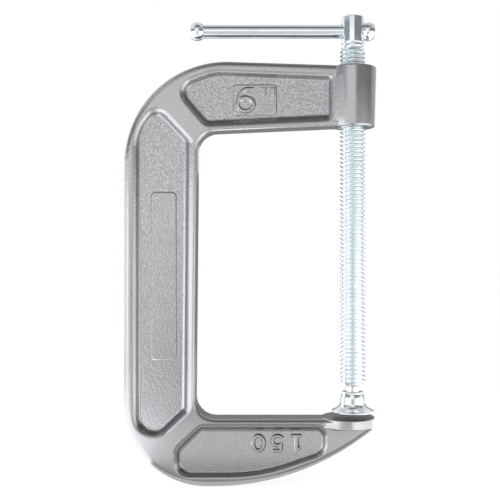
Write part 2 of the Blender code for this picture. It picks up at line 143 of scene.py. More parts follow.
def skinned(name, rings, hoop=False):
    """A closed solid through rings of equal length, in mm.  A hoop's last ring meets its
    first, so it has no end faces."""
    bm = bmesh.new()
    rows = [[bm.verts.new(Vector(p) * MM) for p in ring] for ring in rings]
    pairs = list(zip(rows, rows[1:]))
    if hoop:
        pairs.append((rows[-1], rows[0]))
    else:
        bm.faces.new(rows[0])
        bm.faces.new(rows[-1])
    for low, high in pairs:
        for i in range(len(low)):
            j = (i + 1) % len(low)
            bm.faces.new((low[i], low[j], high[j], high[i]))
    return mesh_object(name, bm)


def lathed(name, profile, segments=96, axis="Z", at=(0.0, 0.0, 0.0), first=0.0):
    """A solid of revolution from (radius, height) pairs, along Z or X."""
    bm = bmesh.new()
    rings = []
    for r, h in profile:
        if r < 1e-6:
            rings.append([bm.verts.new(Vector((0, 0, h)) * MM)])
            continue
        turns = [2 * math.pi * (k + first) / segments for k in range(segments)]
        rings.append([bm.verts.new(Vector((r * math.cos(t), r * math.sin(t), h)) * MM)
                      for t in turns])
    for low, high in zip(rings, rings[1:]):
        for k in range(segments):
            j = (k + 1) % segments
            quad = [low[k % len(low)], low[j % len(low)],
                    high[j % len(high)], high[k % len(high)]]
            face = list(dict.fromkeys(quad))
            if len(face) > 2:
                bm.faces.new(face)
    for ring in (rings[0], rings[-1]):
        if len(ring) > 1:
            bm.faces.new(ring)
    if axis == "X":
        bm.transform(Matrix.Rotation(math.radians(90), 4, "Y"))
    bm.transform(Matrix.Translation(Vector(at) * MM))
    return mesh_object(name, bm)


def block(name, low, high):
    ring = [(low[0], low[2]), (high[0], low[2]), (high[0], high[2]), (low[0], high[2])]
    return skinned(name, [[(x, y, z) for x, z in ring] for y in (low[1], high[1])])


def combine(target, tool, operation):
    """Join `tool` to `target`, or cut it out, and use the tool up."""
    mod = target.modifiers.new(operation.lower(), "BOOLEAN")
    mod.operation, mod.solver, mod.object = operation, "EXACT", tool
    graph = bpy.context.evaluated_depsgraph_get()
    fresh = bpy.data.meshes.new_from_object(target.evaluated_get(graph))
    target.modifiers.clear()
    bm = bmesh.new()
    bm.from_mesh(fresh)
    bmesh.ops.remove_doubles(bm, verts=bm.verts, dist=1e-7)
    bm.to_mesh(fresh)
    bm.free()
    spent, target.data = target.data, fresh
    bpy.data.meshes.remove(spent)
    bpy.data.objects.remove(tool)


def report(obj):
    """Say how fine a piece is, and whether its skin is closed."""
    bm = bmesh.new()
    bm.from_mesh(obj.data)
    open_edges = sum(1 for e in bm.edges if len(e.link_faces) != 2)
    print(obj.name, "has", len(bm.faces), "faces and", open_edges, "open edges")
    bm.free()


# %% [markdown]
# ## The casting's body
#
# The frame is a C with a broad rounded heel, a long curved belly and a rounded crown.  It is
# thickest at its parting line, and the foundry's pattern crowns the flanges softly, so the
# edge is drawn as a quarter of an ellipse and not as a tight round.  The edges round the
# throat are tighter.  The belly's corner lies about a third of the way back from the toe,
# and its arc fills the whole stretch between the heel's flat and the toe's slope.  The loop
# starts at the heel and runs anticlockwise.

# %% Sizes of the C
BOSS_LOW, BOSS_HIGH = 163.2, 197.6
THROAT_LOW_X, THROAT_HIGH_X = -88.5, -87.0
ARM_TOP_Z = -0.3
BACK_X, HEEL_Z = (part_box("c_frame")[0][a] / MM for a in (0, 2))
ANVIL_X, ANVIL_R, ANVIL_H = -2.8, 15.1, 5.4
TOE_X, TOE_Z = ANVIL_X + ANVIL_R, 0.1 - ANVIL_H
SOFFIT_HIGH_Z = BOSS_LOW + 0.6
SOFFIT_LOW_Z = SOFFIT_HIGH_Z - 4.05
BRIDGE_Z = BOSS_HIGH - 0.6
CROWN_Z = BRIDGE_Z + 4.2
ARM_END_X = 6.0
BELLY_SHARE = 0.3149
BELLY_X = TOE_X - BELLY_SHARE * (TOE_X - BACK_X)
HALF_THICK, EDGE_WIDE, EDGE_DEEP, DRAFT = 9.5, 3.6, 3.0, 0.25
THROAT_EDGE = 0.6
HEEL_RADIUS, HEEL_FLAT, CROWN_RADIUS = 46.4, 4.1, 57.6
toe_slope = math.atan2(TOE_Z - HEEL_Z, TOE_X - BELLY_X)
belly_radius = (BELLY_X - BACK_X - HEEL_RADIUS - HEEL_FLAT) / math.tan(toe_slope / 2)
print("the belly's radius is", round(belly_radius, 1), "mm")

# %% Skin the C, a ring for each step of its crowned edge
outline = [
    (BACK_X, HEEL_Z, HEEL_RADIUS, 1.0),
    (BELLY_X, HEEL_Z, belly_radius, 1.0),
    (TOE_X + 0.4, TOE_Z + 0.4 * math.tan(toe_slope), 0.6, 1.0),
    (TOE_X + 0.4, ARM_TOP_Z, 0.6, THROAT_EDGE),
    (THROAT_LOW_X, ARM_TOP_Z, 11.3, THROAT_EDGE),
    (THROAT_HIGH_X, SOFFIT_LOW_Z, 10.8, THROAT_EDGE),
    (ARM_END_X, SOFFIT_HIGH_Z, 0.6, 0.2),
    (ARM_END_X, BRIDGE_Z, 0.6, 1.0),
    (BACK_X, CROWN_Z, CROWN_RADIUS, 1.0),
]
edge = [(HALF_THICK - EDGE_DEEP * (1 - c), DRAFT + EDGE_WIDE * (1 - s))
        for s, c in bend(9, 90, 0)]
levels = [(-y, d) for y, d in edge[::-1]] + [(0.0, 0.0)] + edge
casting = skinned("c_frame_cast", [
    [(x, y, z) for x, z in rounded(shifted(outline, d))] for y, d in levels])
report(casting)

# %% Trim the toe round in plan, under the anvil
toe = block("toe", (ANVIL_X, -20, -60), (40, 20, -0.1))
plug = lathed("plug", [(ANVIL_R - 0.1, -80), (ANVIL_R - 0.1, 20)], at=(ANVIL_X, 0, 0), first=0.5)
combine(toe, plug, "DIFFERENCE")
combine(casting, toe, "DIFFERENCE")
print("the toe is round in plan, with a radius of", ANVIL_R - 0.1, "mm")

# %% [markdown]
# ## Three recesses in each side
#
# The web between the flanges is thinned by three pockets a side, which saves iron and keeps
# the stiff I section.  Each pocket's wall leans out, meets the floor in a fillet and rolls
# over softly at the rim.  A cutter with that profile is skinned from one outline: a side's
# weight is how far its wall leans, so the pocket can be steep near the boss and shallow at
# the corners, as it is on the real casting.

# %% Cut the pockets
RECESS, FLOOR_ROUND, RIM_ROUND = 4.0, 0.9, 1.8
FLOOR_Y = HALF_THICK - RECESS
BOSS_TOP_R = 13.4
pockets = {
    "spine": [
        (BACK_X + 8.7, ARM_TOP_Z - 6.9, 8.5, 2.0),
        (BACK_X + 19.7, ARM_TOP_Z - 6.9, 6.0, 2.6),
        (THROAT_LOW_X - 7.0, ARM_TOP_Z + 5.7, 3.0, 3.6),
        (THROAT_HIGH_X - 7.4, SOFFIT_LOW_Z - 4.75, 2.5, 2.6),
        (BACK_X + 18.7, SOFFIT_LOW_Z + 11.75, 4.5, 2.4),
        (BACK_X + 8.7, SOFFIT_LOW_Z + 0.75, 25.0, 2.3)],
    "upper_arm": [
        (THROAT_HIGH_X - 10.4, CROWN_Z - 17.0, 5.5, 2.4),
        (THROAT_HIGH_X + 4.8, SOFFIT_LOW_Z + 6.55, 3.0, 3.0),
        (-BOSS_TOP_R - 0.5, SOFFIT_HIGH_Z + 5.75, 0.8, 0.9),
        (-BOSS_TOP_R - 0.5, BRIDGE_Z - 7.8, 0.8, 1.6),
        (THROAT_HIGH_X + 9.5, CROWN_Z - 9.55, 25.0, 2.0)],
    "lower_arm": [
        (THROAT_LOW_X - 8.9, HEEL_Z + 7.4, 6.5, 1.1),
        (BELLY_X - 20.9, HEEL_Z + 7.4, 100.0, 1.1),
        (ANVIL_X - ANVIL_R + 0.4, TOE_Z - 13.3, 7.0, 1.5),
        (ANVIL_X - ANVIL_R + 0.4, ARM_TOP_Z - 6.5, 3.5, 3.1),
        (THROAT_LOW_X + 2.8, ARM_TOP_Z - 6.5, 3.0, 2.3),
        (THROAT_LOW_X - 8.9, ARM_TOP_Z - 17.8, 4.0, 2.3)],
}
wall = [(FLOOR_Y + FLOOR_ROUND * (1 - c), FLOOR_ROUND * (1 - s)) for s, c in bend(5)]
wall += [(HALF_THICK - RIM_ROUND * (1 - s), -RIM_ROUND * (1 - c)) for s, c in bend(6, 0, 80)]
# The roll ends nearly flat, and the cutter leaves the flange there and runs out into the air.
wall += [(HALF_THICK + clear, -RIM_ROUND * 0.83 - 0.3) for clear in (0.035, 4.0)]
for name, corners in pockets.items():
    for side in (-1, 1):
        rings = []
        for y, even in wall:
            lean = -min(1.0, (y - FLOOR_Y) / RECESS)
            loop = rounded(shifted(corners, lean, even), 5)
            rings.append([(x, side * y, z) for x, z in loop])
        combine(casting, skinned(name, rings), "DIFFERENCE")
report(casting)

# %% [markdown]
# ## The boss and the anvil
#
# The boss holds the thread and the anvil takes the load, so both stand proud of the arms.
# They are turned shapes with rounded edges.  A casting never has a sharp inner corner, so a
# thin web fills the corner between each round wall and the arm's flanges.  Each web is a
# solid of its own that sinks a hundredth of a millimetre into the metal before the union,
# because the Bevel modifier can't follow an edge left by a Boolean.

# %% Join the boss and the anvil
BOSS_BOTTOM_R, BOSS_EDGE, ANVIL_EDGE = BOSS_TOP_R - 0.9, 1.1, 0.6


def rolled(low_r, low_z, high_r, high_z, round_r, steps=5):
    """Profile of a round wall whose two end edges are rolled over."""
    low = [(low_r - round_r * (1 - s), low_z + round_r * (1 - c)) for s, c in bend(steps)]
    high = [(high_r - round_r * (1 - s), high_z - round_r * (1 - c)) for s, c in bend(steps, 90, 0)]
    return low + high


boss = lathed("boss", rolled(BOSS_BOTTOM_R, BOSS_LOW, BOSS_TOP_R, BOSS_HIGH - 0.5, BOSS_EDGE))
combine(casting, boss, "UNION")
anvil = lathed("anvil", rolled(ANVIL_R, -ANVIL_H, ANVIL_R, 0.0, ANVIL_EDGE), at=(ANVIL_X, 0, 0))
combine(casting, anvil, "UNION")

# %% Webs up the corners between a round wall and the flanges
SINK = 0.01


def arm_half(inset):
    """Half the arm's thickness at a distance inside its outline."""
    s = 1 - min(max((inset - DRAFT) / EDGE_WIDE, 0.0), 1.0)
    return HALF_THICK - EDGE_DEEP * (1 - math.sqrt(1 - s * s))


def gusset(name, axis_x, start, low_z, high_z, wall_r, half, side):
    """A flat web that leaves the flange at `start` from a round wall's axis, on the spine's
    side, and meets the wall at a tangent."""
    rings = []
    steps = 24
    for k in range(steps + 1):
        z = low_z + (high_z - low_z) * k / steps
        ends = min(1.0, 8 * k / steps, 8 * (steps - k) / steps)
        r, y = wall_r(z) - SINK, half(z) - SINK
        meets = math.sqrt(r * r - y * y)
        x = meets + (start - meets) * (0.2 + 0.8 * ends)
        touch = math.atan2(x, y) - math.acos(r / math.hypot(x, y))
        tx, ty = -r * math.sin(touch), r * math.cos(touch)
        ring = [(-x + (tx + x) * j / 4, y + (ty - y) * j / 4) for j in range(5)]
        ring += [(0.7 * tx, 0.7 * ty), (-meets + 0.3, y - 2.0)]
        rings.append([(axis_x + x, side * y, z) for x, y in ring])
    combine(casting, skinned(name, rings), "UNION")


def boss_wall(z):
    share = (z - BOSS_LOW) / (BOSS_HIGH - BOSS_LOW)
    return BOSS_BOTTOM_R + (BOSS_TOP_R - BOSS_BOTTOM_R) * share


def boss_half(z):
    return arm_half(min(BRIDGE_Z + 0.5 - z, (z - SOFFIT_HIGH_Z + 0.7) / THROAT_EDGE))


def anvil_wall(z):
    return ANVIL_R


def anvil_half(z):
    return arm_half((ARM_TOP_Z - z) / THROAT_EDGE)


for side in (-1, 1):
    gusset("boss_gusset", 0.0, BOSS_TOP_R - 1.7, BOSS_LOW + 1.0, BOSS_HIGH - 1.8,
           boss_wall, boss_half, side)
    gusset("anvil_gusset", ANVIL_X, ANVIL_R - 0.9, -ANVIL_H + 0.1, -0.9,
           anvil_wall, anvil_half, side)
report(casting)

# %% A fillet under the anvil's overhang
for side in (-1, 1):
    rings = []
    low_x, high_x, steps = ANVIL_X - 11.4, ANVIL_X + 9.6, 28
    for k in range(steps + 1):
        x = low_x + (high_x - low_x) * k / steps
        ends = min(1.0, 5 * k / steps, 3 * (steps - k) / steps)
        r = 1.3 * (0.15 + 0.85 * ends * ends * (3 - 2 * ends))
        cy, cz = HALF_THICK + r - SINK, -ANVIL_H - r + SINK
        turns = [math.pi - math.pi / 2 * j / 8 for j in range(9)]
        ring = [(cy + r * math.cos(t), cz + r * math.sin(t)) for t in turns]
        ring += [(ring[-1][0], -ANVIL_H + 0.4), (HALF_THICK - 0.7, -ANVIL_H + 0.4),
                 (HALF_THICK - 0.7, ring[0][1])]
        rings.append([(x, side * y, z) for y, z in ring])
    combine(casting, skinned("overhang_fillet", rings), "UNION")
report(casting)

# %% [markdown]
# ## Cast marks
#
# The clamp's size stands in raised strokes: 6 and an inch mark on a panel on the upper arm,
# and 150 along the lower arm, which reads from above.  The long panel on the spine is left
# bare.  A Text object would bring in a font; these numerals are drawn as strokes with
# sloping sides and a narrow top, because a pattern's letters need draft to leave the sand.

# %% Raised strokes and panels
PANEL_H, STROKE_H = 0.6, 0.9


def arc(cx, cz, rx, rz, start, end, steps):
    turns = [math.radians(start + (end - start) * k / steps) for k in range(steps + 1)]
    return [(cx + rx * math.cos(t), cz + rz * math.sin(t)) for t in turns]


def stroke(path, width, base_y, height, closed=False):
    """A raised line with sloping sides along a path of (x, z), joined to the casting.  Its
    section is in shares of half the width, from below the base up to the top."""
    n = len(path)
    slope = [(1.0, base_y + 0.3), (1.0, base_y), (0.52, base_y - 0.84 * height),
             (0.43, base_y - 0.96 * height), (0.3, base_y - height)]
    section = slope + [(-share, y) for share, y in slope[::-1]]
    rings = []
    for i, (x, z) in enumerate(path):
        before = path[i - 1] if i or closed else path[i]
        after = path[(i + 1) % n] if i < n - 1 or closed else path[i]
        dx, dz = after[0] - before[0], after[1] - before[1]
        length = math.hypot(dx, dz)
        across = (-dz / length * width / 2, dx / length * width / 2)
        rings.append([(x + across[0] * share, y, z + across[1] * share) for share, y in section])
    combine(casting, skinned("stroke", rings, hoop=closed), "UNION")


def raised(corners, radius, base_y, height):
    """A flat-topped figure that stands on base_y, with rolled edges."""
    ring = [(x, z, radius, 1.0) for x, z in corners]
    levels = [(base_y + 0.5, 0.0), (base_y, 0.0)]
    levels += [(base_y - height * s, 0.8 * (1 - c)) for s, c in bend(4, 20, 90)]
    rings = [[(x, y, z) for x, z in rounded(shifted(ring, d), 10)] for y, d in levels]
    combine(casting, skinned("raised", rings), "UNION")


def raised_panel(cx, cz, wide, tall, radius):
    raised([(cx + sx * wide / 2, cz + sz * tall / 2)
            for sx, sz in ((-1, -1), (1, -1), (1, 1), (-1, 1))], radius, -FLOOR_Y, PANEL_H)


def placed(path, cx, cz, size, flip=False):
    """A numeral's path, drawn one unit high about its middle, put where it is cast."""
    s = -size if flip else size
    return [(cx + s * x, cz + s * z) for x, z in path]


# %% The size on its panel, and the bare panel on the spine
SIZE_PANEL, BARE_PANEL = (24.7, 17.4), (14.3, 94.4)
size_x, size_z = THROAT_HIGH_X + 31.7, (SOFFIT_HIGH_Z + BRIDGE_Z) / 2 - 2.4
raised_panel(size_x, size_z, *SIZE_PANEL, 2.2)
bare_x, bare_z = (BACK_X + THROAT_LOW_X) / 2 + 2.2, (ARM_TOP_Z + SOFFIT_LOW_Z) / 2 - 0.325
raised_panel(bare_x, bare_z, *BARE_PANEL, 2.5)
panel_y = -FLOOR_Y - PANEL_H
six_x = size_x - 5.7
stroke(placed(arc(0.03, -0.2, 0.34, 0.29, 0, 352.5, 47), six_x, size_z, 13.0), 2.8, panel_y,
       STROKE_H, closed=True)
hook = arc(0.1, -0.2, 0.385, 0.655, 174, 96, 24) + [(0.36, 0.452)]
stroke(placed(hook, six_x, size_z, 13.0), 2.7, panel_y, STROKE_H - 0.04)
for x in (size_x + 4.9, size_x + 10.0):
    wedge = [(x - 1.0, size_z + 2.1), (x + 1.0, size_z + 2.1), (x + 1.75, size_z + 7.0),
             (x - 1.75, size_z + 7.0)]
    raised(wedge, 0.5, panel_y, STROKE_H)
report(casting)

# %% The metric size along the lower arm, upside down
metric_x, metric_z, figure = ANVIL_X - 29.4, ARM_TOP_Z - 13.8, 8.4
five_x, zero_x = metric_x - 10.6, metric_x - 21.2
ONE = [([(0.0, 0.5), (0.0, -0.5)], 3.1, 0.0), ([(0.02, 0.5), (-0.3, 0.24)], 2.0, 0.03),
       ([(-0.36, -0.5), (0.36, -0.5)], 2.2, 0.06)]
FIVE = [([(0.3, 0.5), (-0.33, 0.5)], 2.4, 0.0), ([(-0.23, 0.46), (-0.27, 0.0)], 2.4, 0.05),
        (arc(-0.02, -0.18, 0.35, 0.32, 140, -150, 40), 2.4, 0.02)]
for figure_x, numeral in ((metric_x, ONE), (five_x, FIVE)):
    for path, width, lower in numeral:
        stroke(placed(path, figure_x, metric_z, figure, True), width, -FLOOR_Y, STROKE_H - lower)
stroke(placed(arc(0.0, 0.0, 0.36, 0.5, 0, 352.5, 47), zero_x, metric_z, figure, True), 2.6,
       -FLOOR_Y, STROKE_H, closed=True)
report(casting)

# %% [markdown]
# ## The screw thread
#
# The thread is a right-hand coil of 2.4 mm pitch.  A Screw modifier could sweep one tooth,
# but a skin of slanting rows gives a closed solid at once: a row climbs one pitch in a turn
# and ends where the row a whole tooth higher begins.  The same function makes the spindle
# and, a little larger, the tap that cuts the boss, so the two stay in step.

# %% A threaded solid
PITCH, CREST_R, ROOT_R = 2.4, 7.2, 5.75
SIDES, ROWS = 48, 12


def threaded(name, low_z, high_z, grow=0.0, limit=None):
    """`limit` gives the largest radius allowed at a height, which tapers the ends."""
    first = ROWS * (math.floor(low_z / PITCH) - 2)
    last = ROWS * (math.ceil(high_z / PITCH) + 1)
    rows = []
    for m in range(first, last + 1):
        swell = 0.5 - 0.56 * math.cos(2 * math.pi * (m % ROWS) / ROWS)
        tooth = (CREST_R - ROOT_R) * min(max(swell, 0.0), 1.0)
        row = []
        for k in range(SIDES + 1):
            z = PITCH * (m / ROWS + k / SIDES)
            held = min(max(z, low_z), high_z)
            r = ROOT_R + grow + (tooth if held == z else 0.0)
            if limit:
                r = min(r, limit(held))
            t = 2 * math.pi * k / SIDES
            row.append(Vector((r * math.cos(t), r * math.sin(t), held)) * MM)
        rows.append(row)
    bm = bmesh.new()
    for low, high in zip(rows, rows[1:]):
        for k in range(SIDES):
            bm.faces.new([bm.verts.new(c) for c in (low[k], low[k + 1], high[k + 1], high[k])])
    bmesh.ops.remove_doubles(bm, verts=bm.verts, dist=1e-6)
    bmesh.ops.dissolve_degenerate(bm, edges=bm.edges, dist=1e-6)
    flat = [f for f in bm.faces if f.calc_area() < 1e-13]
    bmesh.ops.delete(bm, geom=flat, context="FACES_ONLY")
    bmesh.ops.holes_fill(bm, edges=[e for e in bm.edges if e.is_boundary], sides=0)
    return mesh_object(name, bm)


# %% Tap the boss and countersink both ends
THREAD_PLAY = 0.34
combine(casting, threaded("tap", BOSS_LOW - 3.0, BOSS_HIGH + 3.0, grow=THREAD_PLAY), "DIFFERENCE")
for z, s in ((BOSS_LOW, -1), (BOSS_HIGH, 1)):
    wide, narrow = CREST_R + THREAD_PLAY + 1.2, ROOT_R - 0.5
    ends = [(narrow, z - s * 2.2), (wide, z + s * 0.15), (wide, z + s * 1.5)]
    combine(casting, lathed("sink", ends, first=0.5), "DIFFERENCE")
report(casting)

# %% [markdown]
# ## The spindle
#
# The spindle is a rolled rod: a plain head with a cross hole for the bar, a long thread, and
# a socket at its tip where the ball end is pressed in.  Its thread tapers in at the tip and
# runs out below the head, so the skin's radius is limited there.  The cross hole's mouth is
# rounded widely enough for a knob to come to rest against it.

# %% Thread, head, cross hole and socket
HEAD_LOW, HEAD_HIGH = 210.6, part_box("spindle")[1].z / MM
TIP_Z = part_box("spindle")[0].z / MM
SHANK_R, BAR_R = CREST_R - 0.75, 3.7
BAR_Z = HEAD_HIGH - 8.2
STEM_R, STEM_TOP = 4.0, TIP_Z + 8.0


def thread_limit(z):
    low = ROOT_R - 0.7 + (z - TIP_Z) * 0.95
    high = SHANK_R - 0.15 + max(0.0, HEAD_LOW - 3.2 - z) * 0.7
    return min(low, high, CREST_R)


spindle = threaded("spindle_rod", TIP_Z, HEAD_LOW + 1.5, limit=thread_limit)
combine(spindle, lathed("head", rolled(SHANK_R, HEAD_LOW, SHANK_R, HEAD_HIGH, 0.55), 128), "UNION")
HOLE_R, LIP_ROUND, AIR = BAR_R + 0.3, 1.7, 1.2
lip = [(HOLE_R + LIP_ROUND * (1 - c), -SHANK_R + LIP_ROUND * (1 - s)) for s, c in bend(6)]
across = [(HOLE_R + LIP_ROUND + AIR, -SHANK_R - AIR)] + lip[::-1] + [(r, -x) for r, x in lip]
across += [(HOLE_R + LIP_ROUND + AIR, SHANK_R + AIR)]
combine(spindle, lathed("cross_hole", across, 64, "X", (0, 0, BAR_Z)), "DIFFERENCE")
combine(spindle, lathed("socket", [(STEM_R + 0.25, TIP_Z - 3.0), (STEM_R + 0.25, STEM_TOP + 0.25)],
                        64), "DIFFERENCE")
report(spindle)

# %% [markdown]
# ## Ball end, pad, bar and knobs
#
# The rest is lathe work.  The ball end is a stub with a ball; the pad's cup is crimped over
# that ball so that the pad can tilt; the bar is a plain rod, and each knob is a headed cap
# pressed on its end.  A profile needs only the points that a turner would mark: a smooth
# curve is drawn through them.

# %% A smooth profile through marked points
def drawn(points, steps=6):
    """Catmull-Rom curve through (radius, height) points."""
    out = []
    padded = [points[0], *points, points[-1]]
    for a, b, c, d in zip(padded, padded[1:], padded[2:], padded[3:]):
        for k in range(steps):
            t = k / steps
            out.append(tuple(
                0.5 * (2 * q + (r - p) * t + (2 * p - 5 * q + 4 * r - s) * t * t
                       + (3 * q - p - 3 * r + s) * t ** 3)
                for p, q, r, s in zip(a, b, c, d)))
    return out + [points[-1]]


# %% Ball end
BALL_R = 5.6
BALL_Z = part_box("ball_end")[0].z / MM + BALL_R
join = math.degrees(math.asin((STEM_R + 0.3) / BALL_R))
profile = [(BALL_R * s, BALL_Z - BALL_R * c) for s, c in bend(30, 0, 180 - join)]
profile += [(STEM_R + 0.1, profile[-1][1] + 0.35), (STEM_R, profile[-1][1] + 0.8)]
profile += [(STEM_R, STEM_TOP - 0.5), (STEM_R - 0.5, STEM_TOP)]
profile[0] = (0.0, profile[0][1])
ball_end = lathed("ball_end_turned", profile, 72)
report(ball_end)

# %% Swivel pad: rim, flared skirt, cup and crimped mouth
PAD_Z, PAD_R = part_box("swivel_pad")[0].z / MM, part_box("swivel_pad")[1].x / MM
PAD_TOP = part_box("swivel_pad")[1].z / MM
SEAT_R = BALL_R + 0.3
rim = [(PAD_R - 0.3 * (1 - s), PAD_Z + 0.3 * (1 - c)) for s, c in bend(4)]
rim += [(PAD_R - 0.4 * (1 - s), PAD_Z + 0.95 - 0.4 * (1 - c)) for s, c in bend(4, 90, 10)]
skirt = drawn([(11.2, PAD_Z + 1.05), (9.75, PAD_Z + 1.75), (8.4, PAD_Z + 2.7),
               (7.55, PAD_Z + 3.75), (7.05, PAD_Z + 5.0), (6.85, PAD_Z + 6.9),
               (6.6, PAD_Z + 8.5), (6.1, PAD_TOP - 1.6), (5.85, PAD_TOP - 1.05)], 5)
mouth_r = STEM_R + 0.9
crimp = [(5.52 + 0.46 * c, PAD_TOP - 0.46 + 0.46 * s) for s, c in bend(6, -30, 90)]
mouth = math.degrees(math.asin(mouth_r / SEAT_R))
seat = [(SEAT_R * s, BALL_Z + SEAT_R * c) for s, c in bend(24, mouth, 180)]
seat[-1] = (0.0, seat[-1][1])
pad = lathed("swivel_pad_turned", rim + skirt + crimp + [(mouth_r + 0.1, PAD_TOP)] + seat, 128)
report(pad)

# %% Tommy bar
bar_low, bar_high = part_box("tommy_bar")[0].x / MM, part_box("tommy_bar")[1].x / MM
bar = lathed("tommy_bar_rod", rolled(BAR_R, bar_low, BAR_R, bar_high, 0.5), 96, "X",
             (0, 0, BAR_Z))
report(bar)

# %% Knobs
KNOB_R, KNOB_DEPTH = BAR_R + 1.45, 1.4
knob_flat = KNOB_R - 1.65
knobs = []
for name, out in (("bar_knob_left", -1), ("bar_knob_right", 1)):
    low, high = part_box(name)
    tip = (low.x if out < 0 else high.x) / MM
    middle = tip - out * (knob_flat + 0.12)
    bore = BAR_R + 0.2
    start = math.degrees(math.asin(bore / KNOB_R))
    end = 180 - math.degrees(math.asin(math.sqrt(1 - (knob_flat / KNOB_R) ** 2)))
    knob = [(0.0, KNOB_DEPTH), (bore, KNOB_DEPTH)]
    knob += [(KNOB_R * s, -KNOB_R * c) for s, c in bend(24, start, end)]
    edge_r = knob[-1][0]
    knob += [(edge_r - 0.12, knob_flat + 0.06), (edge_r - 0.4, knob_flat + 0.12),
             (0.0, knob_flat + 0.12)]
    knobs.append(lathed(name + "_cap", [(r, out * h) for r, h in knob], 72, "X",
                        (middle, 0, BAR_Z)))
    report(knobs[-1])

# %% [markdown]
# ## Shading and bodies
#
# Smooth shading with a sharp-angle limit keeps true edges crisp, and a Weighted Normal
# modifier keeps the casting's big flats flat beside their fillets.  The thread's facets are
# small, so its limit is wide.  Every piece then rides the CAD body that it belongs to and
# stands for the CAD node of the same part.

# %% Smooth, ride and replace
bodies = frame["record"]["behaviour"]["bodies"]
body_of_node = {node: body for body, nodes in bodies.items() for node in nodes}


def smooth(obj, degrees, weighted=True):
    bm = bmesh.new()
    bm.from_mesh(obj.data)
    for face in bm.faces:
        face.smooth = True
    for seam in bm.edges:
        if len(seam.link_faces) == 2:
            seam.smooth = seam.calc_face_angle(0.0) < math.radians(degrees)
    bm.to_mesh(obj.data)
    bm.free()
    if weighted:
        mod = obj.modifiers.new("flat_flats", "WEIGHTED_NORMAL")
        mod.keep_sharp = True


def stands_for(obj, node, degrees, weighted=True):
    smooth(obj, degrees, weighted)
    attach(obj, body_of_node[node])
    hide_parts(node)
    print(obj.name, "rides", body_of_node[node])


stands_for(casting, "c_frame", 32)
stands_for(spindle, "spindle", 68, weighted=False)
stands_for(ball_end, "ball_end", 32)
stands_for(pad, "swivel_pad", 32)
stands_for(bar, "tommy_bar", 32)
for obj, node in zip(knobs, ("bar_knob_left", "bar_knob_right")):
    stands_for(obj, node, 32)

# %% [markdown]
# ## Effects that several finishes share
#
# Real surfaces are never even.  Each effect below is a node group with named sockets: a
# pebble for paint, drawn or turned tool marks, and a slow blotch for plating and handling.
# They work in the object's own metres, so a mark is the same size on every piece and goes
# with the piece when it moves.

# %% Build a node group from named sockets
def new_group(name, inputs, outputs):
    tree = bpy.data.node_groups.new(name, "ShaderNodeTree")
    for label, value in inputs:
        socket = tree.interface.new_socket(label, in_out="INPUT", socket_type="NodeSocketFloat")
        socket.default_value = value
    for label in outputs:
        tree.interface.new_socket(label, in_out="OUTPUT", socket_type="NodeSocketFloat")
    return tree, tree.nodes.new("NodeGroupInput"), tree.nodes.new("NodeGroupOutput")


def math_node(tree, operation, *values, clamp=False):
    """A Math node; each value is a number or a socket to link."""
    node = tree.nodes.new("ShaderNodeMath")
    node.operation, node.use_clamp = operation, clamp
    for slot, value in enumerate(values):
        if isinstance(value, (int, float)):
            node.inputs[slot].default_value = value
        else:
            tree.links.new(value, node.inputs[slot])
    return node.outputs[0]


def noise_node(tree, vector, scale, detail=2.0, roughness=0.5):
    node = tree.nodes.new("ShaderNodeTexNoise")
    for label, value in (("Vector", vector), ("Scale", scale), ("Detail", detail),
                         ("Roughness", roughness)):
        if isinstance(value, (int, float)):
            node.inputs[label].default_value = value
        else:
            tree.links.new(value, node.inputs[label])
    return node.outputs["Fac"]


# %% Pebble: the orange peel of sprayed paint over sand-cast iron
pebble, given, made = new_group(
    "Pebble", [("Size mm", 0.7), ("Coarse Share", 0.4)], ["Height", "Speck"])
place = pebble.nodes.new("ShaderNodeTexCoord").outputs["Object"]
per_metre = math_node(pebble, "DIVIDE", 1000.0, given.outputs["Size mm"])
fine = noise_node(pebble, place, per_metre, 2.0, 0.55)
coarse = noise_node(pebble, place, math_node(pebble, "MULTIPLY", per_metre, 0.3), 1.0, 0.5)
rise = math_node(pebble, "ADD", fine,
                 math_node(pebble, "MULTIPLY", coarse, given.outputs["Coarse Share"]))
pebble.links.new(rise, made.inputs["Height"])
speck = math_node(pebble, "MULTIPLY_ADD", fine, 3.2, -1.1, clamp=True)
pebble.links.new(speck, made.inputs["Speck"])
print("group", pebble.name)

# %% Tool marks: fine lines drawn along an axis, or turned round it
marks, given, made = new_group(
    "Tool Marks", [("Across X", 1.0), ("Across Y", 1.0), ("Across Z", 1.0)], ["Lines"])
place = marks.nodes.new("ShaderNodeTexCoord").outputs["Object"]
scale = marks.nodes.new("ShaderNodeCombineXYZ")
for axis in "XYZ":
    marks.links.new(given.outputs["Across " + axis], scale.inputs[axis])
stretch = marks.nodes.new("ShaderNodeVectorMath")
stretch.operation = "MULTIPLY"
marks.links.new(place, stretch.inputs[0])
marks.links.new(scale.outputs[0], stretch.inputs[1])
marks.links.new(noise_node(marks, stretch.outputs[0], 1000.0, 3.0, 0.6), made.inputs["Lines"])
print("group", marks.name)

